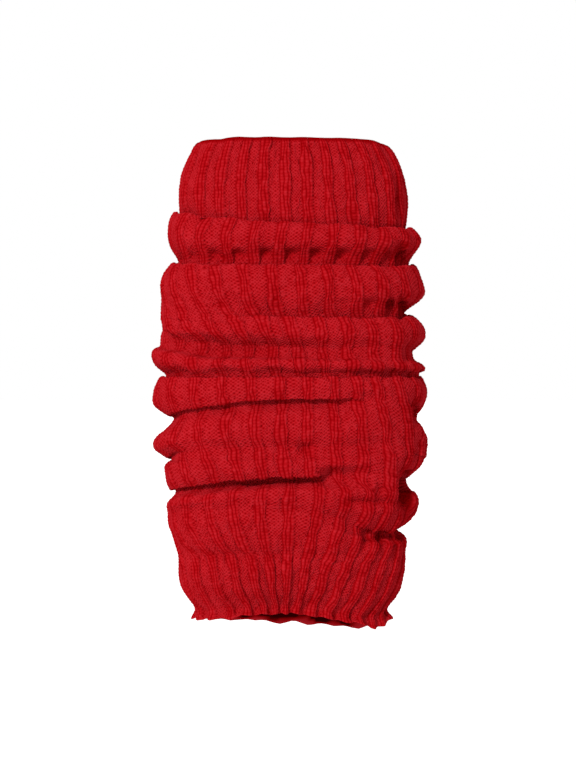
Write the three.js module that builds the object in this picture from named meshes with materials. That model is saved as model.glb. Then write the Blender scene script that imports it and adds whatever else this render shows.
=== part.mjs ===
// One slouched leg warmer: a single tube of chunky wide-rib knit, filled out as a leg fills it,
// with a plain cuff at the top, a stack of soft rolled folds down its length, and a narrower
// lower section that ends in a loosely cast-off, slightly flared hem.
//
// Millimetres. +Z is up, -Y is the front, and +X is on the right of someone facing the front.
// The origin is the centre of the top opening, where the leg holds the cuff up.
//
// The tube is a wall of even thickness on one surface. At each angle that surface follows a
// spline from the rim to the hem. HULL gives how far the crests of the cloth stand from the
// axis. Short tables then give each crease: how low it runs, how deep it is, how far the cloth
// doubles over itself there, and where the roll below it has its crest.

import * as THREE from "three";

// ---- Driving sizes ----------------------------------------------------------------------
const WALL = 2.2; // the knit's thickness, averaged over ribs and furrows
const LAYER_STEP = 4.8; // from one layer to the next where a fold doubles over
const OPEN_TUCK = 1.5; // a tuck this shallow has opened out to a furrow
const FULL_TUCK = 2.5; // past that, a tuck this much deeper has its layers fully apart
const LIP = 1; // the height of a layer's turned edge
const FULLNESS = 0.15; // a roll is steered this share of a crease's depth past its crest
const SQUARENESS = 2.6; // 2 is an ellipse; more gives a flatter front and rounder corners
const SKEW = 0.05; // how far the front falls back for each millimetre to the right
const COLUMNS = 40; // faces around the tube
const RINGS = 60; // points down the tube
const REFERENCE = { width: 88, depth: 52 }; // half sizes that space the columns evenly

// How far the crests of the cloth stand from the axis on four sides, at a drop below the rim.
const HULL = [
  { drop: 0, left: 61, front: 30.5, right: 62.5, back: 29.5 },
  { drop: 2, left: 62.5, front: 31.5, right: 64.5, back: 30 },
  { drop: 14, left: 69, front: 35, right: 71.5, back: 33 },
  { drop: 26, left: 72.5, front: 37, right: 74, back: 35 },
  { drop: 38, left: 73.5, front: 38.5, right: 75, back: 36.5 },
  { drop: 46, left: 80, front: 46, right: 84, back: 44.5 },
  { drop: 75, left: 82, front: 48, right: 84.5, back: 46.5 },
  { drop: 93, left: 85.6, front: 50, right: 86.9, back: 48.5 },
  { drop: 124, left: 84.5, front: 51, right: 87.2, back: 49.5 },
  { drop: 138, left: 92.3, front: 52, right: 86.2, back: 50.5 },
  { drop: 166, left: 90.8, front: 53.5, right: 88.6, back: 52 },
  { drop: 200, left: 91.5, front: 52.5, right: 88.6, back: 51 },
  { drop: 216, left: 82, front: 51.5, right: 84.5, back: 50 },
  { drop: 240, left: 81.3, front: 47.5, right: 82.5, back: 46 },
  { drop: 254, left: 79.5, front: 44.5, right: 75.5, back: 42.5 },
  { drop: 270, left: 73.8, front: 41, right: 73.8, back: 39 },
  { drop: 283, left: 73.2, front: 38, right: 73.2, back: 36 },
  { drop: 296, left: 71.5, front: 34.5, right: 70.5, back: 32.5 },
  { drop: 304, left: 63.8, front: 29.5, right: 63.5, back: 27.5 },
  { drop: 309, left: 61.5, front: 28.5, right: 60.5, back: 26.5 },
  { drop: 314, left: 64.5, front: 31, right: 66, back: 29 },
];
const CUFF_DROPS = [0, 2, 14, 26, 38]; // the plain cuff's control points
const LOWER_DROPS = HULL.slice(-5).map((row) => row.drop); // and those of the plain lower end

// The tables below have a column for each of eight stations around the tube, in the order in
// which a turn passes them: left, front left, front, front right, right, back right, back and
// back left.

// Each crease's drop below the rim.
const CREASE_DROP = {
  underCuff: [47.5, 50.8, 55.7, 58.2, 57, 56, 53, 49],
  first: [80.5, 82.6, 82.9, 83, 81.5, 81, 84, 83],
  second: [110, 113.5, 116.8, 116.6, 114.5, 112, 113, 111],
  slack: [130, 130.5, 137.3, 138.2, 138.6, 139, 136, 131],
  third: [155.5, 155.2, 155.2, 155.2, 155.1, 153, 157, 158],
  fourth: [182, 176.5, 170, 172, 181, 183, 181, 178],
  dimpled: [208, 203, 201.3, 199.6, 202, 205, 207, 206],
  deepest: [229, 225.5, 219.3, 219, 222, 226, 230, 229],
  hollow: [246.2, 242, 241.7, 254, 251.5, 250, 248, 246],
  soft: [271, 271, 270.5, 273, 275, 274, 272, 271],
};

// How far each crease lies inside the crests.
const CREASE_DEPTH = {
  underCuff: [8, 8, 8, 9, 10.5, 8, 8, 8],
  first: [10, 8, 8.5, 9, 10, 8, 8, 8.5],
  second: [0.5, 2, 6, 8.5, 14, 8, 4, 1],
  slack: [2.5, 3.5, 2.5, 3, 9, 5, 4, 4],
  third: [10, 6, 5.5, 6, 5.5, 6, 7, 8],
  fourth: [15, 7.5, 8, 0.5, 7, 6, 8, 10],
  dimpled: [10.5, 3.5, 3, 1.5, 0.5, 3, 6, 7],
  deepest: [6.5, 8.5, 13, 0, 9, 7, 9, 8],
  hollow: [0.5, 1.5, 1.5, 8, 9, 5, 2, 1],
  soft: [0, 1.5, 1, 0, 0, 0, 1, 1],
};

// How far the cloth doubles over itself at each crease. In a row whose sum is above zero, the
// fold below stands up in front of the cloth above it. In the others, the roll above hangs down
// in front of the cloth below it. Near zero the crease has opened out to a shallow furrow.
const CREASE_TUCK = {
  underCuff: [5, 6, 7, 6, 5, 5, 6, 5],
  first: [4, 5, 6, 6, 4, 4, 5, 4],
  second: [0, 0, 4, 6, 5, 4, 2, 0],
  slack: [0, -1, -1, 0, 0, 0, -2, -1],
  third: [4, 4, 5, 4, 3, 4, 5, 3],
  fourth: [-2, -5, -6, 2, -1, -3, -5, -5],
  dimpled: [-4, -2, -1, 0, 0, -1, -3, -3],
  deepest: [-4, -7, -7, 6, -2, -4, -6, -5],
  hollow: [0, 0, 0, -3.4, -4, -3, -1, 0],
  soft: [0, 0, 0, 0, 0, 0, 0, 0],
};

// How much further apart than usual the layers of a hanging crease stand.
const CREASE_GAPE = {
  fourth: [0, 0.5, 1.5, 0, 0, 0, 0.5, 0],
  deepest: [0, 1, 6, 0, 0, 0, 1.5, 1],
};

// The roll below each crease at its left, front, right and back: where its crest is, as a share
// of the way down to the next crease, and how far the round crest reaches from there.
const ROLL_CREST = {
  underCuff: [0.42, 0.35, 0.36, 0.45],
  first: [0.45, 0.4, 0.53, 0.45],
  second: [0.5, 0.4, 0.5, 0.5],
  slack: [0.45, 0.5, 0.65, 0.5],
  third: [0.55, 0.4, 0.38, 0.45],
  fourth: [0.7, 0.5, 0.7, 0.6],
  dimpled: [0.5, 0.5, 0.3, 0.5],
  deepest: [0.6, 0.45, 0.5, 0.5],
  hollow: [0.5, 0.45, 0.5, 0.5],
};
const ROLL_REACH = {
  underCuff: [0.15, 0.12, 0.1, 0.12],
  first: [0.12, 0.2, 0.06, 0.12],
  second: [0.2, 0.15, 0.12, 0.15],
  slack: [0.2, 0.15, 0.1, 0.12],
  third: [0.12, 0.15, 0.1, 0.1],
  fourth: [0.12, 0.2, 0.15, 0.1],
  dimpled: [0.32, 0.15, 0.15, 0.15],
  deepest: [0.12, 0.15, 0.12, 0.15],
  hollow: [0.15, 0.15, 0.15, 0.15],
};

// The rim and the hem hang unevenly: extra drops, which fade out along the plain ends.
const RIM_SAG = [1.5, 0.5, 0, 0.8, 3.5, 1.5, 0, 1];
const HEM_SAG = [0, -0.5, -4, 0.5, 6, 7, 7, 4];

// ---- Around the tube --------------------------------------------------------------------
const mix = (a, b, t) => a + (b - a) * t;

// A closed smooth curve through the eight station values, at a turn from 0 to 1.
function aroundStations(values, turn) {
  const count = values.length;
  const at = Math.floor(turn * count);
  const t = turn * count - at;
  const [a, b, c, d] = [-1, 0, 1, 2].map((k) => values[(at + k + count) % count]);
  return b + 0.5 * t * (c - a + t * (2 * a - 5 * b + 4 * c - d + t * (3 * (b - c) + d - a)));
}

// The unit section: x and y between -1 and 1 on a squared-off oval, at an angle.
function unitSection(angle) {
  const rounded = (v) => Math.sign(v) * Math.abs(v) ** (2 / SQUARENESS);
  return { x: rounded(Math.cos(angle)), y: rounded(Math.sin(angle)) };
}

// Angles that share the reference section's girth evenly, from the left through the front.
function evenAngles(count) {
  const fine = 4000;
  const angleAt = (i) => Math.PI + (2 * Math.PI * i) / fine;
  const girth = [0];
  let last = unitSection(angleAt(0));
  for (let i = 1; i <= fine; i++) {
    const next = unitSection(angleAt(i));
    const step = Math.hypot((next.x - last.x) * REFERENCE.width, (next.y - last.y) * REFERENCE.depth);
    girth.push(girth[i - 1] + step);
    last = next;
  }
  const angles = [];
  for (let i = 0, k = 0; i < count; i++) {
    while (girth[k + 1] < (girth[fine] * i) / count) k++;
    angles.push(angleAt(k));
  }
  return angles;
}

// One side's distance from the hull table at a drop, in a straight line between its rows.
function hullAt(side, drop) {
  const below = HULL.findIndex((row) => row.drop > drop);
  if (below < 0) return HULL[HULL.length - 1][side];
  const [a, b] = [HULL[below - 1], HULL[below]];
  return mix(a[side], b[side], (drop - a.drop) / (b.drop - a.drop));
}

// ---- Down the tube ----------------------------------------------------------------------
// The control points of the spline that runs from the rim to the hem at one angle.
function profile(angle) {
  const turn = angle / (2 * Math.PI) - 0.5;
  const { x, y } = unitSection(angle);
  const endways = Math.cos(angle) ** 2;
  const points = [];

  // One more point, at a drop and so far inside the hull, which may be read at another drop.
  const add = (drop, inward = 0, hullDrop = drop) => {
    const width = hullAt(x < 0 ? "left" : "right", hullDrop) - inward;
    const depth = hullAt(y < 0 ? "front" : "back", hullDrop) - inward;
    points.push(new THREE.Vector3(x * width, y * depth + SKEW * x * width, -drop));
  };
  const fourSided = ([left, front, right, back]) => mix(y < 0 ? front : back, x < 0 ? left : right, endways);

  const rimSag = aroundStations(RIM_SAG, turn);
  const cuffEnd = CUFF_DROPS[CUFF_DROPS.length - 1];
  for (const drop of CUFF_DROPS) add(drop + rimSag * (1 - drop / cuffEnd), 0, drop);
  const names = Object.keys(CREASE_DROP);
  names.forEach((name, i) => {
    const drop = aroundStations(CREASE_DROP[name], turn);
    const depth = aroundStations(CREASE_DEPTH[name], turn);
    const standsUp = CREASE_TUCK[name].reduce((sum, tuck) => sum + tuck) > 0;
    const down = standsUp ? 1 : -1; // from the layer that goes under towards the fold's roll
    const over = Math.max(0, down * aroundStations(CREASE_TUCK[name], turn) - OPEN_TUCK);
    const doubled = Math.min(1, over / FULL_TUCK);
    const slit = LIP * (1 - doubled);
    const gape = CREASE_GAPE[name] ? aroundStations(CREASE_GAPE[name], turn) : 0;
    const lipIn = depth - (LAYER_STEP + gape) * doubled;
    // From the under layer, down behind the fold, round its turned edge, and up over its top.
    const route = [
      () => add(drop - down * 2 * LIP, depth, drop),
      () => add(drop + down * (over - slit / 2), depth, drop),
      () => add(drop + down * (over + slit / 2), lipIn, drop),
      () => add(drop + down * (3 * slit - LIP), lipIn, drop),
    ];
    for (const step of standsUp ? route : route.reverse()) step();
    if (i === names.length - 1) return;
    const next = names[i + 1];
    const [below, nextDepth] = [CREASE_DROP, CREASE_DEPTH].map((table) => aroundStations(table[next], turn));
    const [crest, reach] = [ROLL_CREST, ROLL_REACH].map((table) => fourSided(table[name]));
    add(mix(drop, below, crest - reach), -FULLNESS * depth);
    add(mix(drop, below, crest + reach), -FULLNESS * nextDepth);
  });
  const hemSag = aroundStations(HEM_SAG, turn);
  LOWER_DROPS.forEach((drop, i) => add(drop + (hemSag * (i + 1)) / LOWER_DROPS.length, 0, drop));
  return points;
}

// A uniform cubic B-spline that starts and ends on its first and last control points.
function splinePoint(points, share) {
  const first = points[0];
  const last = points[points.length - 1];
  const ends = (inner, outer) => outer.clone().multiplyScalar(2).sub(inner);
  const all = [ends(points[1], first), ...points, ends(points[points.length - 2], last)];
  const place = Math.min(share * (points.length - 1), points.length - 1 - 1e-9);
  const at = Math.floor(place);
  const t = place - at;
  const weights = [
    (1 - t) ** 3 / 6,
    (3 * t ** 3 - 6 * t ** 2 + 4) / 6,
    (-3 * t ** 3 + 3 * t ** 2 + 3 * t + 1) / 6,
    t ** 3 / 6,
  ];
  const sum = new THREE.Vector3();
  weights.forEach((w, k) => sum.addScaledVector(all[at + k], w));
  return sum;
}

// ---- The knitted wall -------------------------------------------------------------------
// The middle surface as a grid: a row for each ring, a point for each column.
function middleSurface() {
  const profiles = evenAngles(COLUMNS).map(profile);
  const shares = Array.from({ length: RINGS }, (_, ring) => ring / (RINGS - 1));
  return shares.map((share) => profiles.map((points) => splinePoint(points, share)));
}

// The outward direction at a point of the grid, from its four neighbours.
function outward(grid, ring, column) {
  const row = grid[ring];
  const around = row[(column + 1) % COLUMNS].clone().sub(row[(column + COLUMNS - 1) % COLUMNS]);
  const up = grid[Math.max(ring - 1, 0)][column].clone().sub(grid[Math.min(ring + 1, RINGS - 1)][column]);
  return around.cross(up).normalize();
}

// A closed wall: the grid moved out by half its thickness, the grid moved in by the other half,
// and a strip that joins the two at the rim and at the hem.
function wallGeometry(grid, thickness) {
  const positions = [];
  for (const side of [0.5, -0.5])
    for (let ring = 0; ring < RINGS; ring++)
      for (let column = 0; column < COLUMNS; column++) {
        const point = grid[ring][column].clone();
        point.addScaledVector(outward(grid, ring, column), side * thickness);
        positions.push(point.x, point.y, point.z);
      }
  const outer = (ring, column) => ring * COLUMNS + (column % COLUMNS);
  const inner = (ring, column) => outer(ring + RINGS, column);
  const faces = [];
  const quad = (a, b, c, d) => faces.push(a, b, c, a, c, d);
  for (let column = 0; column < COLUMNS; column++) {
    const next = column + 1;
    for (let ring = 0; ring < RINGS - 1; ring++) {
      const below = ring + 1;
      quad(outer(below, column), outer(below, next), outer(ring, next), outer(ring, column));
      quad(inner(ring, column), inner(ring, next), inner(below, next), inner(below, column));
    }
    const hem = RINGS - 1;
    quad(outer(0, column), outer(0, next), inner(0, next), inner(0, column));
    quad(inner(hem, column), inner(hem, next), outer(hem, next), outer(hem, column));
  }
  const geometry = new THREE.BufferGeometry();
  geometry.setAttribute("position", new THREE.Float32BufferAttribute(positions, 3));
  geometry.setIndex(faces);
  geometry.computeVertexNormals();
  return geometry;
}

function ribKnitTube() {
  const wool = new THREE.MeshStandardMaterial({ color: "#ad1119", roughness: 0.95, metalness: 0 });
  const tube = new THREE.Mesh(wallGeometry(middleSurface(), WALL), wool);
  tube.name = "rib_knit_tube";
  return tube;
}

const legWarmer = new THREE.Group();
legWarmer.name = "leg_warmer";
legWarmer.add(ribKnitTube());

export default legWarmer;
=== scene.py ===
# %% [markdown]
# # A slouched leg warmer in wide rib
#
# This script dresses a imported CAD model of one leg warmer. The CAD model is a smooth, rigid wall
# of the right size. Here the same tube is knitted: ribs, stitches, folds and a ruffled hem, all
# as real geometry, with a wool-like yarn as the only material.

import bpy
import numpy as np
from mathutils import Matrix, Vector


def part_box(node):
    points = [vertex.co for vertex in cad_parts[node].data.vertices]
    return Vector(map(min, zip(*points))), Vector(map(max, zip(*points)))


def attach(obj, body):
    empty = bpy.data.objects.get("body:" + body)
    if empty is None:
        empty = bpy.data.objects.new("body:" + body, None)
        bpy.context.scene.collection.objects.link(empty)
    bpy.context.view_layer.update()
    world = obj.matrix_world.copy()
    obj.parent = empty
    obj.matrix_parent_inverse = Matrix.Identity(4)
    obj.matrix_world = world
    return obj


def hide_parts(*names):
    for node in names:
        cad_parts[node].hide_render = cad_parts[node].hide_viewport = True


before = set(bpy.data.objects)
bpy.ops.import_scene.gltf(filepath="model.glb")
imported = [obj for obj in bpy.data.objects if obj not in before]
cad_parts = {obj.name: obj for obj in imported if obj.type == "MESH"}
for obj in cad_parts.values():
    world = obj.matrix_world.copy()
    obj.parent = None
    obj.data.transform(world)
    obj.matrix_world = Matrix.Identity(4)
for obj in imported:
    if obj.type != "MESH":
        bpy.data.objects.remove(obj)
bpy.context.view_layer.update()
tube_low, tube_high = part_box("rib_knit_tube")
MM = 0.001  # Blender works in metres, and the tables below are in millimetres
print("tube, mm:", [round((b - a) / MM, 1) for a, b in zip(tube_low, tube_high)])

# %% [markdown]
# ## Camera
#
# The garment is looked at squarely from the front, level with its middle, with a long lens. A
# long lens from a metre and a half away keeps the cuff and the hem almost in parallel view.

# %% Camera
CAMERA_DISTANCE = 1.5
FRAME_HEIGHT = 0.507  # how much the camera sees from top to bottom at the tube's axis
SENSOR = 36.0
AIM_LEFT, AIM_UP = 1.14, 0.89  # millimetres from the middle of the tube

tube_middle = (tube_low + tube_high) / 2
centre = Vector((tube_middle.x - AIM_LEFT * MM, 0.0, tube_middle.z + AIM_UP * MM))

camera = bpy.data.objects.new("camera", bpy.data.cameras.new("camera"))
camera.data.sensor_fit = "VERTICAL"
camera.data.sensor_height = SENSOR
camera.data.lens = SENSOR * CAMERA_DISTANCE / FRAME_HEIGHT
camera.location = centre + Vector((0, -CAMERA_DISTANCE, 0))
camera.rotation_euler = (np.pi / 2, 0, 0)
bpy.context.scene.collection.objects.link(camera)
bpy.context.scene.camera = camera
print("lens, mm:", round(camera.data.lens, 1))

# %% [markdown]
# ## Colours and nodes
#
# Colours are written as sRGB hex values, as a colour picker shows them, and one function turns
# them into the linear numbers that shaders want. One small function adds a node, sets its
# settings and links its inputs, so that a material reads as a list of steps.


# %% Helpers for materials
def linear(hex_colour):
    """An sRGB hex colour as linear red, green and blue, with full alpha."""
    srgb = np.array([int(hex_colour[i : i + 2], 16) for i in (1, 3, 5)]) / 255
    return (*np.where(srgb < 0.04045, srgb / 12.92, ((srgb + 0.055) / 1.055) ** 2.4), 1.0)


def add_node(tree, kind, inputs=None, **settings):
    """One node: its settings are set, and its inputs take values or links from other nodes."""
    node = tree.nodes.new(kind)
    for name, value in settings.items():
        setattr(node, name, value)
    for name, value in (inputs or {}).items():
        if isinstance(value, bpy.types.NodeSocket):
            tree.links.new(value, node.inputs[name])
        else:
            node.inputs[name].default_value = value
    return node


print("half grey in linear light:", round(linear("#808080")[0], 3))

# %% [markdown]
# ## Floor and light
#
# A leg would hold the garment up, so the pale matte floor lies well below it. The sky is plain
# white. One soft key light comes from the upper left: light that falls across a knit is what
# makes its ribs and creases readable.

# %% Floor
FLOOR_DROP = 0.6  # metres below the lowest loop of the hem
FLOOR_SIZE = 200.0


def matte_paint(name, hex_colour):
    """Emulsion paint, brushed flat: fully rough and with no highlight, so it looks like paper."""
    material = bpy.data.materials.new(name)
    material.use_nodes = True
    shader = material.node_tree.nodes["Principled BSDF"]
    shader.inputs["Base Color"].default_value = linear(hex_colour)
    shader.inputs["Roughness"].default_value = 1.0
    shader.inputs["Specular IOR Level"].default_value = 0.0
    return material


bpy.ops.mesh.primitive_plane_add(size=FLOOR_SIZE, location=(0, 0, tube_low.z - FLOOR_DROP))
floor = bpy.context.object
floor.name = "floor"
floor.data.materials.append(matte_paint("floor_matte_paint", "#F4F4F4"))
print("floor at, m:", round(floor.location.z, 3))

# %% Sky and key light
KEY_FROM = (-0.65, -1.1, 0.6)
KEY_STRENGTH, KEY_SOFTNESS = 3.5, 16.0  # watts a square metre, and its width in degrees

world = bpy.data.worlds.new("white_sky")
world.use_nodes = True
world.node_tree.nodes["Background"].inputs["Color"].default_value = (1, 1, 1, 1)
world.node_tree.nodes["Background"].inputs["Strength"].default_value = 1.0
bpy.context.scene.world = world
bpy.context.scene.view_settings.view_transform = "Standard"

key = bpy.data.objects.new("key_light", bpy.data.lights.new("key_light", "SUN"))
key.data.energy = KEY_STRENGTH
key.data.angle = np.radians(KEY_SOFTNESS)
key.rotation_euler = Vector(KEY_FROM).to_track_quat("Z", "Y").to_euler()
bpy.context.scene.collection.objects.link(key)
print("key light tilt, degrees:", np.round(np.degrees(key.rotation_euler), 1))

# %% [markdown]
# ## The cloth's form
#
# A leg fills the tube to a rounded oval. The cuff lies plain against it, and below the cuff the
# cloth is too long for the leg it covers, so it sinks into soft rolls with creases between them.
#
# The hull says where the crests of the cloth stand: snug at the cuff, widest over the lower calf,
# and narrow again at the hem, which flares a little at its very edge.

# %% Hull of the cloth, in millimetres
# Drop below the rim, then how far the crests of the cloth stand from the axis on four sides.
HULL = np.array([
    # drop, left, front, right, back
    (0.0, 61.0, 30.5, 62.5, 29.5),
    (2.0, 62.5, 31.5, 64.5, 30.0),
    (14.0, 69.0, 35.0, 71.5, 33.0),
    (26.0, 72.5, 37.0, 74.0, 35.0),
    (38.0, 73.5, 38.5, 75.0, 36.5),
    (46.0, 80.0, 46.0, 84.0, 44.5),
    (75.0, 82.0, 48.0, 84.5, 46.5),
    (93.0, 85.6, 50.0, 86.9, 48.5),
    (124.0, 84.5, 51.0, 87.2, 49.5),
    (138.0, 92.3, 52.0, 86.2, 50.5),
    (166.0, 90.8, 53.5, 88.6, 52.0),
    (200.0, 91.5, 52.5, 88.6, 51.0),
    (216.0, 82.0, 51.5, 84.5, 50.0),
    (240.0, 81.3, 47.5, 82.5, 46.0),
    (254.0, 79.5, 44.5, 75.5, 42.5),
    (270.0, 73.8, 41.0, 73.8, 39.0),
    (283.0, 73.2, 38.0, 73.2, 36.0),
    (296.0, 71.5, 34.5, 70.5, 32.5),
    (304.0, 63.8, 29.5, 63.5, 27.5),
    (309.0, 61.5, 28.5, 60.5, 26.5),
    (314.0, 64.5, 31.0, 66.0, 29.0),
])
print("hull:", len(HULL), "levels down to", HULL[-1, 0], "mm")

# %% [markdown]
# ## Creases
#
# A cloth simulation could drop a tube like this, but it would make its own folds and not these.
# So each crease has a row in four short tables, with a column for each of eight stations around
# the tube: how low it runs, how deep it is, how far the cloth doubles over itself there, and how
# wide it gapes. A crease that should fade out on one side has next to no depth there.

# %% Creases, in millimetres
STATIONS = "left, front left, front, front right, right, back right, back, back left"

CREASE_DROP = {
    "under cuff": (47.5, 50.8, 55.7, 58.2, 57.0, 56.0, 53.0, 49.0),
    "first": (80.5, 82.6, 82.9, 83.0, 81.5, 81.0, 84.0, 83.0),
    "second": (110.0, 113.5, 116.8, 116.6, 114.5, 112.0, 113.0, 111.0),
    "slack": (130.0, 134.0, 137.3, 138.2, 138.6, 139.0, 136.0, 131.0),
    "third": (155.5, 155.2, 155.2, 155.2, 155.1, 153.0, 157.0, 158.0),
    "fourth": (182.0, 176.5, 170.0, 172.0, 181.0, 183.0, 181.0, 178.0),
    "dimpled": (208.0, 203.0, 201.3, 199.6, 202.0, 205.0, 207.0, 206.0),
    "deepest": (229.0, 225.5, 219.3, 219.0, 222.0, 226.0, 230.0, 229.0),
    "hollow": (246.2, 242.0, 241.7, 256.0, 253.5, 250.0, 248.0, 246.0),
    "soft": (271.0, 271.0, 270.5, 273.0, 275.0, 274.0, 272.0, 271.0),
}

CREASE_DEPTH = {
    "under cuff": (8.0, 8.0, 8.0, 9.0, 10.5, 8.0, 8.0, 8.0),
    "first": (10.0, 8.0, 8.5, 9.0, 10.0, 8.0, 8.0, 8.5),
    "second": (0.5, 2.0, 6.0, 8.5, 14.0, 8.0, 4.0, 1.0),
    "slack": (3.0, 9.0, 7.0, 3.0, 9.0, 5.0, 4.0, 4.0),
    "third": (10.0, 6.0, 5.5, 6.0, 5.5, 6.0, 7.0, 8.0),
    "fourth": (15.0, 7.5, 8.0, 0.0, 7.0, 6.0, 8.0, 10.0),
    "dimpled": (10.5, 3.5, 3.0, 1.5, 0.0, 3.0, 6.0, 7.0),
    "deepest": (6.5, 8.5, 12.0, -1.0, 9.0, 7.0, 9.0, 8.0),
    "hollow": (0.5, 1.5, 1.5, 8.0, 9.0, 5.0, 2.0, 1.0),
    "soft": (0.0, 1.5, 1.0, 0.0, 0.0, 0.0, 1.0, 1.0),
}

# Above zero the roll below stands up in front; below zero the roll above hangs down in front.
CREASE_TUCK = {
    "under cuff": (5, 6, 7, 6, 5, 5, 6, 5),
    "first": (4, 5, 6, 6, 4, 4, 5, 4),
    "second": (0, 0, 4, 6, 5, 4, 2, 0),
    "slack": (0, -1, -1, 0, 0, 0, -2, -1),
    "third": (4, 4, 5, 4, 3, 4, 5, 3),
    "fourth": (-2, -6, -5, 0, -1, -3, -5, -5),
    "dimpled": (-4, -2, -1, 0, 0, -1, -3, -3),
    "deepest": (-4, -8, -5.5, 10, -2, -4, -6, -5),
    "hollow": (0, 0, 0, -3.4, -4, -3, -1, 0),
    "soft": (0, 0, 0, 0, 0, 0, 0, 0),
}

# How much wider than the cloth is thick a hanging crease gapes, at the same stations.
CREASE_GAPE = {
    "fourth": (0.0, 0.3, 2.0, 0.0, 0.0, 0.0, 0.5, 0.0),
    "deepest": (0.0, 1.0, 6.0, 0.0, 0.0, 0.0, 1.5, 1.0),
}
print(len(CREASE_DROP), "creases at", STATIONS)

# %% [markdown]
# ## Rolls and ends
#
# Between two creases the cloth swells out into a roll. Where its crest lies and how far the crest
# stays round make one roll fat and another one sag. The rim and the hem don't run level either:
# worn rib creeps up on one side and hangs down on the other.

# %% Rolls and ends
# On four sides: where the crest of the roll below each crease is, as a share of the way down to
# the next crease, and how far the round crest reaches from there.
ROLL_CREST = {
    # left, front, right, back
    "under cuff": (0.42, 0.35, 0.36, 0.45),
    "first": (0.45, 0.40, 0.53, 0.45),
    "second": (0.50, 0.40, 0.50, 0.50),
    "slack": (0.45, 0.50, 0.65, 0.50),
    "third": (0.55, 0.40, 0.38, 0.45),
    "fourth": (0.70, 0.50, 0.70, 0.60),
    "dimpled": (0.50, 0.50, 0.30, 0.50),
    "deepest": (0.60, 0.45, 0.50, 0.50),
    "hollow": (0.50, 0.45, 0.50, 0.50),
}
ROLL_REACH = {
    "under cuff": (0.15, 0.12, 0.10, 0.12),
    "first": (0.12, 0.20, 0.06, 0.12),
    "second": (0.20, 0.15, 0.12, 0.15),
    "slack": (0.20, 0.15, 0.10, 0.12),
    "third": (0.12, 0.15, 0.10, 0.10),
    "fourth": (0.12, 0.20, 0.15, 0.10),
    "dimpled": (0.32, 0.15, 0.15, 0.15),
    "deepest": (0.12, 0.15, 0.12, 0.15),
    "hollow": (0.15, 0.15, 0.15, 0.15),
}

# How far the two ends hang down at the eight stations, in millimetres.
RIM_SAG = (1.5, 0.5, 0.0, 0.8, 3.5, 1.5, 0.0, 1.0)
HEM_SAG = (-0.5, -1.0, -6.5, 4.0, 0.5, 8.5, 6.5, 2.5)
print("rim hangs", min(RIM_SAG), "to", max(RIM_SAG), "mm; hem", min(HEM_SAG), "to", max(HEM_SAG), "mm")

# %% [markdown]
# ## Dents and gaps
#
# Handling leaves small marks of its own. A dent takes ribs and all with it. In a gap the thin purl wales
# sink and the firm plain ones bridge over, which leaves a row of dark pockets. Dents and gaps are real
# hollows, and their colour also carries painted shade.

# %% Dents and gaps, in millimetres
# Each has its place across, drop, half width, half height, lean and depth. Lean is how far it
# runs down for each millimetre to the right.
DENTS = (
    (8.5, 201.0, 5.0, 3.0, 0.0, 2.4),
    (74.0, 230.0, 4.0, 11.0, 0.0, 16.0),
    (70.0, 75.0, 3.5, 6.0, -0.5, 5.0),
    (63.5, 110.0, 2.2, 4.5, -0.4, 4.0),
    (71.5, 109.0, 3.0, 6.0, -0.5, 5.0),
    (80.0, 178.0, 2.5, 8.0, 0.0, 4.0),
    (-30.0, 272.0, 26.0, 6.0, 0.1, 1.2),
    (-40.0, 140.0, 30.0, 4.0, -0.1, 1.6),
    (52.0, 236.0, 17.0, 3.2, 0.05, 3.2),
    (57.5, 228.0, 3.2, 5.0, 0.0, 2.2),
    (57.0, 258.0, 3.0, 4.5, 0.0, 2.4),
    (69.5, 258.0, 3.0, 4.5, 0.0, 2.4),
)

GAPS = (
    (8.0, 76.8, 80.0, 3.6, 0.0, 3.6),
    (55.0, 108.5, 24.0, 3.5, 0.0, 2.6),
    (70.5, 38.0, 2.5, 12.0, 0.0, 4.0),
    (64.0, 263.0, 22.0, 6.0, 0.1, 3.0),
    (4.0, 309.0, 36.0, 3.0, 0.06, 3.0),
)
print(len(DENTS), "dents and", len(GAPS), "gaps")

# %% [markdown]
# ## Around and down the tube
#
# The oval is a superellipse, which is flatter in front and rounder at its corners than an
# ellipse. Turns are measured from the left, through the front, so that a quarter turn is the
# middle of the front. The oval is also turned a little on the leg, so its right side falls back.

# %% Around the tube
SQUARENESS = 2.6
REFERENCE = (88.0, 52.0)  # the half width and depth that share out the girth
SKEW = 0.05  # how far the front falls back for each millimetre to the right
FINE_ANGLES = 8001


def around(values, turn):
    """A closed smooth curve through the eight station values."""
    values = np.asarray(values, float)
    place = (turn % 1.0) * len(values)
    at = np.floor(place).astype(int)
    t = place - at
    a, b, c, d = (values[(at + k) % len(values)] for k in (-1, 0, 1, 2))
    return b + 0.5 * t * (c - a + t * (2 * a - 5 * b + 4 * c - d + t * (3 * (b - c) + d - a)))


def unit_oval(angle):
    """The superellipse of half width and half depth one."""
    x, y = np.cos(angle), np.sin(angle)
    power = 2 / SQUARENESS
    return np.sign(x) * abs(x) ** power, np.sign(y) * abs(y) ** power


fine_angle = np.pi + np.linspace(0, 2 * np.pi, FINE_ANGLES)
fine_x, fine_y = unit_oval(fine_angle)
fine_step = np.hypot(np.diff(fine_x) * REFERENCE[0], np.diff(fine_y) * REFERENCE[1])
fine_girth = np.concatenate([[0], np.cumsum(fine_step)])


def angle_at(share):
    """The angle at a share of the girth, so that equal shares are equally wide."""
    return np.interp(share % 1.0, fine_girth / fine_girth[-1], fine_angle)


print("girth of the reference oval, mm:", round(fine_girth[-1], 1))

# %% [markdown]
# Down the tube the cloth follows a B-spline, which never overshoots its control points and so
# turns corners as softly as thick knit does. Each crease has six control points: the roll's round
# shoulder, the two ends of its lip, the two ends of the layer that goes under, and the crease's
# floor. Where the roll above hangs down in front they run the other way up.

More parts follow.
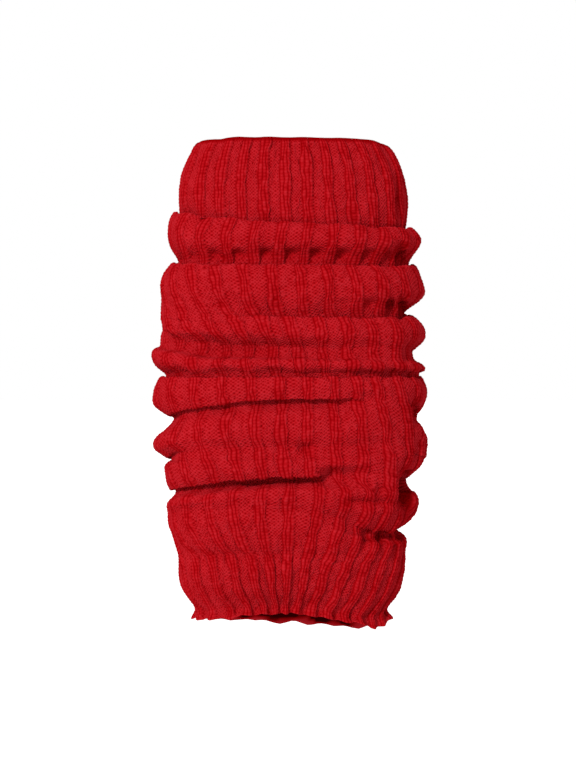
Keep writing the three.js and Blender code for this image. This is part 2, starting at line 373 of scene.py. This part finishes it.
# %% Control points of one crease
CUFF_POINTS, ROUTE_POINTS, CREASE_POINTS, HEM_POINTS = 5, 6, 8, 5  # counted down the cloth
LAYER_STEP = 3.8  # from one layer to the next where the cloth is doubled
OPEN_TUCK, FULL_TUCK = 1.5, 2.5  # doubling starts at the first, and is full this much further on
LIP = 1.0  # half the height of an open crease
SHOULDER_DROP, SHOULDER_SHARE = 3.5, 0.35  # the roll's round edge beside its lip
ENTRY, ENTRY_SHARE = 4.0, 0.9  # the crease's floor beside the layer that goes under
OPEN_SPREAD = 0.8  # how much wider an open crease is than a doubled one


def crease_route(name, drop, turn):
    """Six points down a crease: the drop of each, how far in it lies, and where the hull is read."""
    depth = around(CREASE_DEPTH[name], turn)
    stands_up = sum(CREASE_TUCK[name]) > 0
    tuck = around(CREASE_TUCK[name], turn) * (1 if stands_up else -1)
    over = np.maximum(0, tuck - OPEN_TUCK)
    doubled = np.minimum(1, over / FULL_TUCK)
    slit = LIP * (1 - doubled)
    gape = around(CREASE_GAPE.get(name, (0.0,) * 8), turn)
    lip_in = depth - (LAYER_STEP + gape) * doubled
    entry = ENTRY * (1 + OPEN_SPREAD * (1 - doubled))
    shoulder = SHOULDER_DROP * (1 + OPEN_SPREAD * (1 - doubled))
    if stands_up:
        return (
            (drop - entry, ENTRY_SHARE * depth, drop),
            (drop - LIP, depth, drop),
            (drop + over - slit / 2, depth, drop),
            (drop + over + slit / 2, lip_in, drop),
            (drop + 3 * slit - LIP, lip_in, drop),
            (drop + shoulder, SHOULDER_SHARE * lip_in, drop + shoulder),
        )
    return (
        (drop - shoulder, SHOULDER_SHARE * lip_in, drop - shoulder),
        (drop - 3 * slit + LIP, lip_in, drop),
        (drop - over - slit / 2, lip_in, drop),
        (drop - over + slit / 2, depth, drop),
        (drop + LIP, depth, drop),
        (drop + entry, ENTRY_SHARE * depth, drop),
    )


front = np.array([0.25])
route = crease_route("first", around(CREASE_DROP["first"], front), front)
print("first crease in front, drops in mm:", [round(float(point[0][0]), 1) for point in route])


# %% Control net of the whole tube
def control_net(share):
    """The spline's control points, as (points, columns, 3), for columns at these shares."""
    angle = angle_at(share)
    turn = angle / (2 * np.pi) - 0.5
    x, y = unit_oval(angle)
    endways = np.cos(angle) ** 2
    net = []

    def add(drop, inward, hull_drop):
        left, front, right, back = (np.interp(hull_drop, HULL[:, 0], HULL[:, k]) for k in (1, 2, 3, 4))
        across = x * (np.where(x < 0, left, right) - inward)
        depth = np.where(y < 0, front, back) - inward
        net.append(np.stack([across, y * depth + SKEW * across, -drop], axis=-1))

    def four_sided(values):
        left, front, right, back = values
        ends, faces = np.where(x < 0, left, right), np.where(y < 0, front, back)
        return faces + (ends - faces) * endways

    cuff_drops = HULL[:CUFF_POINTS, 0]
    for drop in cuff_drops:
        sag = around(RIM_SAG, turn) * (1 - drop / cuff_drops[-1])
        add(drop + sag, 0.0, drop)
    drops = {name: around(CREASE_DROP[name], turn) for name in CREASE_DROP}
    names = list(drops)
    for name, following in zip(names, [*names[1:], None]):
        for point in crease_route(name, drops[name], turn):
            add(*point)
        if following:
            crest, reach = four_sided(ROLL_CREST[name]), four_sided(ROLL_REACH[name])
            for part in (crest - reach, crest + reach):
                drop = drops[name] + (drops[following] - drops[name]) * part
                add(drop, 0.0, drop)
    for i, drop in enumerate(HULL[-HEM_POINTS:, 0]):
        add(drop + around(HEM_SAG, turn) * (i + 1) / HEM_POINTS, 0.0, drop)
    return np.array(net)


def b_spline(net, count):
    """count points down the spline through a net, ending on its first and last points."""
    net = np.concatenate([2 * net[:1] - net[1:2], net, 2 * net[-1:] - net[-2:-1]])
    place = np.linspace(0, len(net) - 3 - 1e-9, count)
    at = place.astype(int)
    t = (place - at)[:, None, None]
    weights = (
        (1 - t) ** 3 / 6,
        (3 * t**3 - 6 * t**2 + 4) / 6,
        (-3 * t**3 + 3 * t**2 + 3 * t + 1) / 6,
        t**3 / 6,
    )
    return sum(w * net[at + k] for k, w in enumerate(weights))


BASE_COLUMNS, FINE_ROWS = 520, 2400  # the smooth form is worked out finely, then read by the knit
net = control_net(np.arange(BASE_COLUMNS) / BASE_COLUMNS)
smooth = b_spline(net, FINE_ROWS)
print("control points down the cloth:", len(net), "fine rows:", len(smooth))

# %% [markdown]
# ## Courses and wales
#
# A knitter counts a fabric in wales, the columns of stitches, and courses, the rows. This rib is
# three plain wales, which stand up, and four purl wales, which sink back and stretch. A chunky
# yarn gives wales 2 to 2.5 mm wide and courses about 2.2 mm high. The cloth's length, down
# through all its folds, says how many courses there are.

# %% The knit's count
RIBS = 26
PLAIN_WALES, PURL_WALES = 3, 4
COURSE = 2.2
PLAIN_STEPS, PURL_STEPS, COURSE_STEPS = 3, 4, 4  # mesh columns or rows in one stitch

step = np.linalg.norm(np.diff(smooth, axis=0), axis=-1)
along = np.concatenate([np.zeros((1, BASE_COLUMNS)), np.cumsum(step, axis=0)])
courses = int(round(along[-1].mean() / COURSE))
rows = courses * COURSE_STEPS + 1
print("cloth length, mm:", np.round([along[-1].min(), along[-1].mean(), along[-1].max()], 1))
print("courses:", courses, "wales:", RIBS * (PLAIN_WALES + PURL_WALES))


# %% The smooth form, one row after another down the cloth
def even_rows(grid, along, rows):
    """The grid with its rows spaced evenly along the cloth in each column."""
    out = np.empty((rows, *grid.shape[1:]))
    for j in range(grid.shape[1]):
        want = np.linspace(0, along[-1, j], rows)
        for k in range(grid.shape[2]):
            out[:, j, k] = np.interp(want, along[:, j], grid[:, j, k])
    return out


def normals_of(grid):
    """Outward normals of a grid that closes around its second axis."""
    across = np.roll(grid, -1, axis=1) - np.roll(grid, 1, axis=1)
    down = np.gradient(grid, axis=0)
    normal = np.cross(down, across)
    return normal / np.linalg.norm(normal, axis=-1, keepdims=True)


def pressed(grid, places):
    """How deep a list of dents or gaps goes at each point of the front."""
    total = np.zeros(grid.shape[:-1])
    for across, drop, half_width, half_height, lean, depth in places:
        to_right = (grid[..., 0] - across) / half_width
        downward = (-grid[..., 2] - drop - lean * (grid[..., 0] - across)) / half_height
        total += depth * np.exp(-(to_right**4) - downward**2)
    return total * (grid[..., 1] < 0)


base = even_rows(smooth, along, rows)
point_number = np.linspace(0, len(net) - 1, FINE_ROWS)[:, None, None]
point_number = np.broadcast_to(point_number, (FINE_ROWS, BASE_COLUMNS, 1))
base_place = even_rows(point_number, along, rows)[..., 0]  # which control point each row is at
base = base - normals_of(base) * pressed(base, DENTS)[..., None]
base_normal = normals_of(base)
print("outward at the front:", np.round(base_normal[rows // 10, BASE_COLUMNS // 4], 2))

# %% [markdown]
# ## Ribs
#
# Each mesh column has a place within its rib. The plain wales keep their width wherever the rib
# is stretched, and the purl wales take up the rest, as real rib does.

# %% Columns of the mesh
columns_per_rib = PLAIN_WALES * PLAIN_STEPS + PURL_WALES * PURL_STEPS
columns = RIBS * columns_per_rib
in_rib = np.arange(columns) % columns_per_rib
rib = np.arange(columns) // columns_per_rib
plain = in_rib < PLAIN_WALES * PLAIN_STEPS
wale_place = np.where(plain, in_rib / PLAIN_STEPS, (in_rib - PLAIN_WALES * PLAIN_STEPS) / PURL_STEPS)
plain_share = wale_place / PLAIN_WALES  # from 0 to 1 across the raised band
purl_share = wale_place / PURL_WALES  # and across the sunk one
wale = rib * (PLAIN_WALES + PURL_WALES) + np.floor(wale_place).astype(int) + np.where(plain, 0, PLAIN_WALES)
print("mesh columns:", columns, "mesh rows:", rows)

# %% [markdown]
# Ribs don't run straight down a slouched tube. They slide round the leg as it twists, crowd
# together where the knit springs back, and spread where it is stretched over a roll. Between two
# rolls they slide unseen, so a table gives the slide only where each roll comes into view and
# where it goes out of view.

# %% How far the ribs have slid
# To the right of even spacing, in ribs, at the eight stations: first at the top of what shows of
# each roll, then at its bottom.
RIB_SLIDE = {
    # left, front left, front, front right, right, back right, back, back left
    "cuff": (
        (0.0, 0.0, -0.1, -0.4, -0.6, -0.2, 0.0, 0.0),
        (0.1, 0.15, 0.0, -0.15, -0.4, -0.2, 0.0, 0.0),
    ),
    "under cuff": (
        (-0.4, -0.2, -0.05, -0.05, 0.0, 0.0, 0.1, -0.2),
        (-0.6, -0.45, -0.25, -0.25, -0.3, 0.0, 0.1, -0.2),
    ),
    "first": (
        (-0.6, -0.8, -0.47, -0.47, -0.3, 0.0, 0.2, 0.0),
        (-0.1, -0.15, -0.22, -0.1, -0.3, 0.0, 0.3, 0.2),
    ),
    "second": (
        (0.0, 0.0, 0.2, 0.2, 0.3, 0.2, 0.3, 0.3),
        (0.6, 0.6, 0.45, 0.4, 0.1, 0.3, 0.4, 0.5),
    ),
    "slack": (
        (0.65, 0.75, 0.5, 0.42, 0.2, 0.3, 0.4, 0.6),
        (0.75, 0.8, 0.6, 0.5, 0.1, 0.3, 0.5, 0.7),
    ),
    "third": (
        (0.8, 0.87, 0.85, 0.3, 0.3, 0.4, 0.6, 0.8),
        (0.9, 0.9, 0.87, 0.45, 0.3, 0.5, 0.6, 0.8),
    ),
    "fourth": (
        (0.95, 1.0, 0.88, 0.6, 0.9, 0.6, 0.7, 0.9),
        (1.05, 1.1, 0.88, 0.9, 0.1, 0.6, 0.8, 1.0),
    ),
    "dimpled": (
        (1.1, 1.2, 0.9, 0.95, 0.1, 0.6, 0.8, 1.0),
        (1.1, 1.2, 0.95, 1.0, -0.2, 0.7, 0.9, 1.1),
    ),
    "deepest": (
        (1.0, 1.1, 1.4, 1.1, 0.1, 0.7, 1.0, 1.1),
        (0.9, 1.0, 1.3, 1.1, 0.3, 0.7, 1.0, 1.1),
    ),
    "hollow": (
        (1.0, 1.0, 1.25, 1.0, 0.4, 0.7, 1.0, 1.2),
        (1.55, 1.25, 1.0, 0.6, 0.15, 0.6, 1.0, 1.4),
    ),
    "soft": (
        (1.8, 1.45, 0.85, 0.4, -0.05, 0.5, 1.0, 1.5),
        (2.2, 1.9, 0.35, -0.2, -1.0, -0.1, 0.9, 1.8),
    ),
}
print("slides given for", len(RIB_SLIDE), "stretches of cloth")


# %% Helpers for the ribs
INTO_VIEW, OUT_OF_VIEW = ROUTE_POINTS - 1.5, CREASE_POINTS + 1  # points down from a crease's first


def waves(seed, most_around, most_down, count=14):
    """Smooth unevenness between about -1 and 1, for every row and column, closed around the tube."""
    random = np.random.default_rng(seed)
    turn = 2 * np.pi * np.arange(columns)[None, :] / columns
    down = 2 * np.pi * np.arange(rows)[:, None] / rows
    total = np.zeros((rows, columns))
    for _ in range(count):
        m, n = random.integers(1, most_around + 1), random.uniform(-most_down, most_down)
        total += np.cos(m * turn + n * down + random.uniform(0, 2 * np.pi))
    return total * (2 / count) ** 0.5 / 1.6


def at_shares(grid, share):
    """The grid's values where each row's columns lie at these shares of a turn."""
    place = (share % 1.0) * grid.shape[1]
    at = np.floor(place).astype(int)
    t = place - at
    t = t.reshape(t.shape + (1,) * (grid.ndim - 2))
    row = np.arange(grid.shape[0])[:, None]
    return grid[row, at % grid.shape[1]] * (1 - t) + grid[row, (at + 1) % grid.shape[1]] * t


def slide_stations():
    """Where each row of slides belongs, counted in the spline's control points, and the rows."""
    places, values = [], []
    for k, (top, bottom) in enumerate(RIB_SLIDE.values()):
        first = CUFF_POINTS + CREASE_POINTS * (k - 1)
        places.append(first + INTO_VIEW if k else 0)
        values.append(top)
        places.append(first + OUT_OF_VIEW if k < len(RIB_SLIDE) - 1 else base_place.max())
        values.append(bottom)
    return np.array(places, float), values


def slid(even):
    """Where cloth that would lie at these even shares of a turn has slid to."""
    places, values = slide_stations()
    place = np.interp(at_shares(base_place, even), places, np.arange(len(places)))
    place = np.clip(place, 0, len(places) - 1.001)
    at, t = place.astype(int), place % 1.0
    slides = np.array([around(row, even) for row in values])
    row, column = np.indices(even.shape)
    return even + (slides[at, row, column] * (1 - t) + slides[at + 1, row, column] * t) / RIBS


print("slides down the cloth are read at", len(slide_stations()[0]), "places")

# %% Where each rib lies
RAISED_BAND = 7.4  # millimetres across three plain wales
LEAST_RAISED, MOST_RAISED = 0.34, 0.5  # and as a share of the rib
CROWDED_PITCH, SPREAD_PITCH = 11.5, 17.5  # from rib to rib where it corrugates most and least
WANDER, WOBBLE = 0.045, 0.02  # how far ribs stray over a long and a short way, in ribs

rib_edges = np.broadcast_to((np.arange(RIBS + 1) / RIBS)[None, :], (rows, RIBS + 1))
edge_share = slid(rib_edges)
edge_place = at_shares(base, edge_share)
pitch = np.linalg.norm(np.diff(edge_place, axis=1), axis=-1)
raised_share = np.clip(RAISED_BAND / pitch, LEAST_RAISED, MOST_RAISED)[:, rib]
in_rib_share = np.where(plain, plain_share * raised_share, raised_share + purl_share * (1 - raised_share))
share = slid((rib + in_rib_share) / RIBS)
share += (WANDER * waves(3, 60, 20) + WOBBLE * waves(4, 90, 60)) / RIBS
crowded = np.clip((SPREAD_PITCH - pitch) / (SPREAD_PITCH - CROWDED_PITCH), 0, 1)[:, rib]
print("rib pitch in front, mm:", np.round(pitch[rows // 14 :: rows // 7, RIBS // 4], 1))

# %% [markdown]
# ## Relief
#
# The relief is measured outward from the middle of the cloth. Three plain wales stand up as one
# low rounded ridge. Where ribs crowd together the cloth corrugates more, so the ridge is higher.

# %% Relief of the ribs, in millimetres
RIDGE_SPREAD, RIDGE_CROWDED = 0.75, 1.8  # how high a ridge stands on stretched and crowded rib
RIDGE_CROWN, RIDGE_EDGE = 0.3, 0.35  # how round its top is, and how high its first column stands

across_ridge = abs(2 * plain_share - 1)
ridge_height = RIDGE_SPREAD + (RIDGE_CROWDED - RIDGE_SPREAD) * crowded
ridge_form = np.where(plain, 1 - RIDGE_CROWN * across_ridge**2, 0.0)
ridge_form = np.where(plain & (plain_share == 0), RIDGE_EDGE, ridge_form)
ridge = ridge_height * ridge_form
print("ridges, mm:", round(ridge.max(1).min(), 2), "to", round(ridge.max(), 2))

# %% [markdown]
# Between two plain wales runs a groove, and each plain stitch swells a little, as a V of two
# legs. A purl wale shows the backs of the stitches. There the yarn of one stitch crosses over the
# next in loops that lie half a stitch apart from wale to wale, with small dark pits between them.
# The yarn isn't even, so each stitch strays a little in place and height.

# %% Relief of the stitches, in millimetres
WALE_GROOVE, STITCH_SWELL, VEE_RISE = 0.55, 0.12, 0.45  # the last as a share of a course
PURL_BUMP, PURL_SINK = 0.54, 0.12  # how far the crossings stand out, and how low purl wales lie
PIT_SHARPNESS, ROW_SHARE = 1.2, 0.15  # how pointed the pits are, and how far loops line up in rows
FOOT_GROOVE, FOOT_WIDTH = 0.2, 0.1  # beside a ridge, the second as a share of the purl wales
UNEVEN_PLACE, UNEVEN_HEIGHT = 0.13, 0.09  # stitches stray by a share of a course, and up and down
TONE_LOW, TONE_HIGH = -0.5, 0.1  # stitch heights for painted shade, from the darkest in the gaps between stitches to none on their tops
SEED = 7


def per_stitch(seed, place):
    """A random number for each stitch, blended into the next one down the wale."""
    values = np.random.default_rng(seed).standard_normal((courses + 3, wale.max() + 1))
    at = np.floor(place).astype(int)
    t = place - at
    return values[at, wale] * (1 - t) + values[at + 1, wale] * t


course_place = np.broadcast_to(np.arange(rows)[:, None] / COURSE_STEPS, (rows, columns))
in_wale = wale_place % 1.0
groove = -WALE_GROOVE * np.cos(np.pi * in_wale) ** 2
vee = VEE_RISE * abs(2 * in_wale - 1)
stray = UNEVEN_PLACE * per_stitch(SEED, course_place)
swell = STITCH_SWELL * np.cos(2 * np.pi * (course_place + vee + stray))
plain_stitch = groove + swell
crossing = np.cos(2 * np.pi * (course_place + stray)) * (ROW_SHARE - np.cos(2 * np.pi * in_wale))
crossing = crossing / (1 + ROW_SHARE)
purl_stitch = PURL_BUMP * (1 - 2 * ((1 - crossing) / 2) ** PIT_SHARPNESS) - PURL_SINK
from_ridge = np.minimum(purl_share, 1 - purl_share) / FOOT_WIDTH
purl_stitch = purl_stitch - FOOT_GROOVE * np.exp(-(from_ridge**2))
stitch = np.where(plain, plain_stitch, purl_stitch) + UNEVEN_HEIGHT * per_stitch(SEED + 1, course_place)
relief = ridge + stitch
# Painted shade: the tone, and so the colour, darkens where a point lies low among its stitches.
tone = np.clip((stitch - TONE_LOW) / (TONE_HIGH - TONE_LOW), 0, 1)
print("relief, mm:", round(relief.min(), 2), "to", round(relief.max(), 2))

# %% [markdown]
# ## The knitted surface
#
# The knit is laid on the smooth form. In a gap each purl band is drawn in deepest just to the right of a
# ridge, because there the cloth hangs from the ridge's shaded side. A few soft lumps keep the rolls from
# being too even, as a filled garment's are. A place that is pressed far in gets painted shade: its colour
# darkens, down to the deepest.

# %% Gaps, lumps and painted shade in pockets
LUMPS = 0.6
SHELTER = 7.0  # a place pressed in this far gets the darkest painted shade all over
DENT_SHELTER = 0.6  # a dent is wider open than a gap, so it gets less painted shade
BRIDGE_SINK, BAND_SINK, POCKET_SINK = 0.2, 0.25, 0.9  # shares of a gap's depth: ribs, purl, pockets
POCKET_NEAR, POCKET_FAR, POCKET_PEAK = 0.4, 1.2, 0.42  # its slopes, and what brings its peak to one

middle = at_shares(base, share)
normal = at_shares(base_normal, share)
normal /= np.linalg.norm(normal, axis=-1, keepdims=True)
beside_ridge = purl_share**POCKET_NEAR * (1 - purl_share).clip(0) ** POCKET_FAR / POCKET_PEAK
sunk = pressed(middle, GAPS) * np.where(plain, BRIDGE_SINK, BAND_SINK + POCKET_SINK * beside_ridge)
# Painted shade in pockets: how far the colour darkens, from gaps and dents.
painted_pocket_shade = np.clip((sunk + DENT_SHELTER * pressed(middle, DENTS)) / SHELTER, 0, 1)
middle = middle + normal * (LUMPS * waves(5, 16, 16) - sunk)[..., None]
print("sheltered share of the cloth:", round(float((painted_pocket_shade > 0.5).mean()), 4))

# %% [markdown]
# A loose cast-off doesn't draw the edge in, so the last courses of the hem wave in and out with
# the ribs. The rim was cast on firmly and lies flat.

# %% The ruffled hem
RUFFLE, RUFFLE_COURSES = 1.6, 5
RUFFLE_UNEVEN, DROP_SHARE, DROP_UNEVEN = 0.7, 0.9, 0.4

rows_up = rows - 1 - np.arange(rows)[:, None]
hem_share = np.clip(1 - rows_up / (RUFFLE_COURSES * COURSE_STEPS), 0, 1) ** 2
rib_wave = np.cos(2 * np.pi * (np.where(plain, plain_share - 0.5, purl_share + 0.5) * 0.5))
ruffle = hem_share * RUFFLE * (rib_wave + RUFFLE_UNEVEN * waves(SEED, 20, 1))
middle = middle + normal * ruffle[..., None]
uneven_drop = hem_share * RUFFLE * (rib_wave + DROP_UNEVEN * waves(SEED + 1, 24, 1))
middle[..., 2] -= DROP_SHARE * uneven_drop
print("ruffle, mm:", round(ruffle.min(), 1), "to", round(ruffle.max(), 1))

# %% [markdown]
# The outside carries the whole relief, and the inside only a little of the ribs. At the rim and
# the hem the two come together in a rounded edge, and the relief fades out.

# %% Outside and inside
OUTER_HALF, INNER_HALF = 0.9, 0.55  # from the middle of the cloth to its smooth faces
INNER_RELIEF = 0.3
EDGE_ROUND, EDGE_FADE = 1.4, 4.0
EDGE_THICKNESS, EDGE_RELIEF = 0.3, 0.15  # shares that are left at the very edge

rows_from_edge = np.minimum(np.arange(rows)[:, None], rows_up)
from_edge = rows_from_edge * COURSE / COURSE_STEPS
roundness = np.sqrt(1 - np.clip(1 - from_edge / EDGE_ROUND, 0, 1) ** 2)
rounded = EDGE_THICKNESS + (1 - EDGE_THICKNESS) * roundness
fade = np.clip(from_edge / EDGE_FADE, EDGE_RELIEF, 1)
outward = (OUTER_HALF + (relief - ridge_height / 2) * fade) * rounded
inward = (INNER_HALF - INNER_RELIEF * (ridge - ridge_height / 2) * fade) * rounded
outer = middle + normal * outward[..., None]
inner = middle - normal * inward[..., None]
outer_normal = normals_of(outer)
inner_normal = -normals_of(inner)
print("outer surface, mm:", np.round(outer.min((0, 1)), 1), np.round(outer.max((0, 1)), 1))

# %% [markdown]
# ## Yarn
#
# The yarn is a blend of acrylic and wool, spun loosely and dyed red all through. Spun fibre
# scatters light every way, so it is matte: a roughness near one and no highlight of its own.
# The gaps between stitches are painted a deeper, purer red than their tops, and the narrow room just inside
# the hem is painted nearly black: both are painted shade. The tone of every point, which holds this painted
# light and shade, is worked out here and stored on the mesh, and the material turns it into colour.

# %% Yarn material
# The yarn's red on stitch tops, then painted shade: halfway, in the gaps between stitches, and nearly black
# just inside the hem.
YARN_LIT, YARN_MIDDLE, YARN_GAP_SHADE, YARN_INSIDE_SHADE = "#92171E", "#87090F", "#6A0002", "#2E0001"
GAP_SHADE_TONE = 0.2  # tones below this are the darkest painted shade, just inside the hem
TUFTS_PER_MM, TUFT_HEIGHT = 1.4, 0.4  # fibre is finer: tufts are drawn as coarse as they show


def wool_acrylic_yarn():
    """Loosely spun wool and acrylic: matte and soft, with a faint fuzz that breaks up the shade."""
    material = bpy.data.materials.new("red_wool_acrylic_yarn")
    material.use_nodes = True
    tree = material.node_tree
    shader = tree.nodes["Principled BSDF"]
    painted_light_and_shade = add_node(tree, "ShaderNodeAttribute", attribute_name="painted_light_and_shade")
    coordinates = add_node(tree, "ShaderNodeTexCoord")
    fibre = add_node(
        tree,
        "ShaderNodeTexNoise",
        {"Vector": coordinates.outputs["Object"], "Scale": TUFTS_PER_MM / MM, "Detail": 3.0},
    )
    # The ramp turns the stored tone into colour, from the darkest painted shade to the yarn's red on stitch
    # tops.
    ramp = add_node(tree, "ShaderNodeValToRGB", {"Fac": painted_light_and_shade.outputs["Fac"]})
    ramp.color_ramp.elements[0].color = linear(YARN_INSIDE_SHADE)
    ramp.color_ramp.elements[1].color = linear(YARN_LIT)
    for place, colour in ((GAP_SHADE_TONE, YARN_GAP_SHADE), ((1 + GAP_SHADE_TONE) / 2, YARN_MIDDLE)):
        ramp.color_ramp.elements.new(place).color = linear(colour)
    tree.links.new(ramp.outputs["Color"], shader.inputs["Base Color"])
    fuzz = {"Height": fibre.outputs["Fac"], "Strength": 0.25, "Distance": TUFT_HEIGHT * MM}
    bump = add_node(tree, "ShaderNodeBump", fuzz)
    tree.links.new(bump.outputs["Normal"], shader.inputs["Normal"])
    shader.inputs["Roughness"].default_value = 0.95
    shader.inputs["Specular IOR Level"].default_value = 0.0
    return material


yarn = wool_acrylic_yarn()
print(yarn.name, "with", len(yarn.node_tree.nodes), "nodes")

# %% [markdown]
# Outside, the tone follows the stitches with painted shade in their gaps, darkens with painted shade in
# pressed-in places, and is dark with painted shade at the very edge of the rim. The inside shows an even
# painted shade of deeper red, with painted light on the last course or two of the hem, which reaches a
# little further up at some ribs than at others.

# %% Painted light and shade of every point
INNER_STEP, INNER_SHADE_TONE = 5, 0.3  # the inside has a column for every fifth one outside
# Painted light on the inside of the hem's last courses: its tone, how many courses it reaches, and how
# unevenly.
INNER_HEM_PAINTED_LIGHT, INNER_RIM_COURSES, INNER_RIM_UNEVEN = 0.9, 0.6, 1.0
HEM_SHADE_COURSES = 5  # the inside's painted shade is darkest up to here, and takes as many more to be even
# Painted shade along the rim's top edge: rows at its darkest, then rows over which it fades.
RIM_DARK_ROWS, RIM_SHADE_ROWS = 3, 4

rim_shade = np.clip((np.arange(rows)[:, None] - RIM_DARK_ROWS) / RIM_SHADE_ROWS, 0, 1)
outer_tone = GAP_SHADE_TONE + (1 - GAP_SHADE_TONE) * tone * rim_shade * (1 - painted_pocket_shade)
courses_up = rows_up / COURSE_STEPS
# Painted light inside the hem, reaching up a little further at some ribs than at others.
painted_light_up_to = INNER_RIM_COURSES + INNER_RIM_UNEVEN * (0.5 * rib_wave + waves(SEED + 2, 24, 1))
inner_tone = INNER_HEM_PAINTED_LIGHT * np.clip(painted_light_up_to - courses_up + 1, 0, 1)
# Painted shade inside the tube: an even deeper red above the darkest band just inside the hem.
inside_painted_shade = INNER_SHADE_TONE * np.clip(courses_up / HEM_SHADE_COURSES - 1, 0, 1)
inner_tone = np.maximum(inner_tone, inside_painted_shade)[:, ::INNER_STEP]
print("mean tone outside and inside:", round(outer_tone.mean(), 2), round(inner_tone.mean(), 2))

# %% [markdown]
# ## Bands
#
# The tube is one knitted piece, but at this detail one mesh would be too heavy, so it is drawn as
# five bands that meet edge to edge. Each band is closed: outside, inside, and a narrow strip of
# triangles at either edge.
#
# A quad is drawn as two triangles, split along one diagonal. If all the diagonals leant one way,
# the purl stitches would look hatched, so every other quad is turned.

# %% Faces of one band
column_in_band = np.where(plain, in_rib, in_rib - PLAIN_WALES * PLAIN_STEPS)


def faces_of(out_id, in_id):
    """The quads of the outside and the inside, from the numbers of their points."""
    right_out, right_in = np.roll(out_id, -1, axis=1), np.roll(in_id, -1, axis=1)
    knit = np.stack([out_id[1:], right_out[1:], right_out[:-1], out_id[:-1]], -1)
    turned = (np.arange(len(knit))[:, None] + column_in_band) % 2 == 0
    knit[turned] = np.roll(knit[turned], -1, axis=-1)
    lining = np.stack([in_id[:-1], right_in[:-1], right_in[1:], in_id[1:]], -1)
    return np.concatenate([knit.reshape(-1, 4), lining.reshape(-1, 4)])


def edge_strip(row_out, row_in, flip):
    """Triangles from one row of the outside to the same row of the inside, which is coarser."""
    strip = []
    half = INNER_STEP // 2
    for i, p in enumerate(row_in):
        edge = [row_out[(INNER_STEP * i + k) % len(row_out)] for k in range(INNER_STEP + 1)]
        q = row_in[(i + 1) % len(row_in)]
        fan = [(a, b, p if k < half else q) for k, (a, b) in enumerate(zip(edge, edge[1:]))]
        fan.append((edge[half], q, p))
        strip += [face[::-1] for face in fan] if flip else fan
    return strip


print("inside columns:", columns // INNER_STEP)


# %% Mesh of one band
def flat(grids):
    """Several grids of points as one list of numbers."""
    return np.concatenate([grid.reshape(-1, 3) for grid in grids]).ravel()


def band_mesh(name, first, last):
    """A closed band of the cloth between two mesh rows."""
    outside, inside = slice(first, last + 1), slice(first, last + 1, COURSE_STEPS)
    points = (outer[outside], inner[inside, ::INNER_STEP])
    facing = (outer_normal[outside], inner_normal[inside, ::INNER_STEP])
    tones = np.concatenate([outer_tone[outside].ravel(), inner_tone[inside].ravel()])
    out_id, in_id = (np.arange(p[..., 0].size).reshape(p.shape[:2]) for p in points)
    in_id = in_id + out_id.size
    quads = faces_of(out_id, in_id)
    triangles = np.array(edge_strip(out_id[0], in_id[0], False) + edge_strip(out_id[-1], in_id[-1], True))
    corners = np.concatenate([quads.ravel(), triangles.ravel()]).astype(np.int32)
    sizes = np.concatenate([np.full(len(quads), 4), np.full(len(triangles), 3)])

    mesh = bpy.data.meshes.new(name)
    mesh.vertices.add(len(tones))
    mesh.vertices.foreach_set("co", (flat(points) * MM).astype(np.float32))
    mesh.loops.add(len(corners))
    mesh.loops.foreach_set("vertex_index", corners)
    mesh.polygons.add(len(sizes))
    mesh.polygons.foreach_set("loop_start", (np.cumsum(sizes) - sizes).astype(np.int32))
    mesh.update(calc_edges=True)
    mesh.validate()
    # The tone attribute carries the painted light and shade.
    attribute = mesh.attributes.new("painted_light_and_shade", "FLOAT", "POINT")
    attribute.data.foreach_set("value", tones.astype(np.float32))
    mesh.polygons.foreach_set("use_smooth", np.ones(len(sizes), bool))
    mesh.normals_split_custom_set_from_vertices(flat(facing).reshape(-1, 3).tolist())
    return mesh


# %% [markdown]
# Each band rides on the only body and stands for the CAD tube, which is hidden.

# %% The five bands
BANDS = ("cuff", "upper_rolls", "middle_rolls", "lower_rolls", "hem")
bounds = [int(round(courses * k / len(BANDS))) * COURSE_STEPS for k in range(len(BANDS) + 1)]
for name, first, last in zip(BANDS, bounds, bounds[1:]):
    mesh = band_mesh(name + "_rib_knit", first, last)
    mesh.materials.append(yarn)
    piece = bpy.data.objects.new(name + "_rib_knit", mesh)
    bpy.context.scene.collection.objects.link(piece)
    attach(piece, "root")
    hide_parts("rib_knit_tube")
    mesh.calc_loop_triangles()
    print(piece.name, len(mesh.loop_triangles), "triangles")
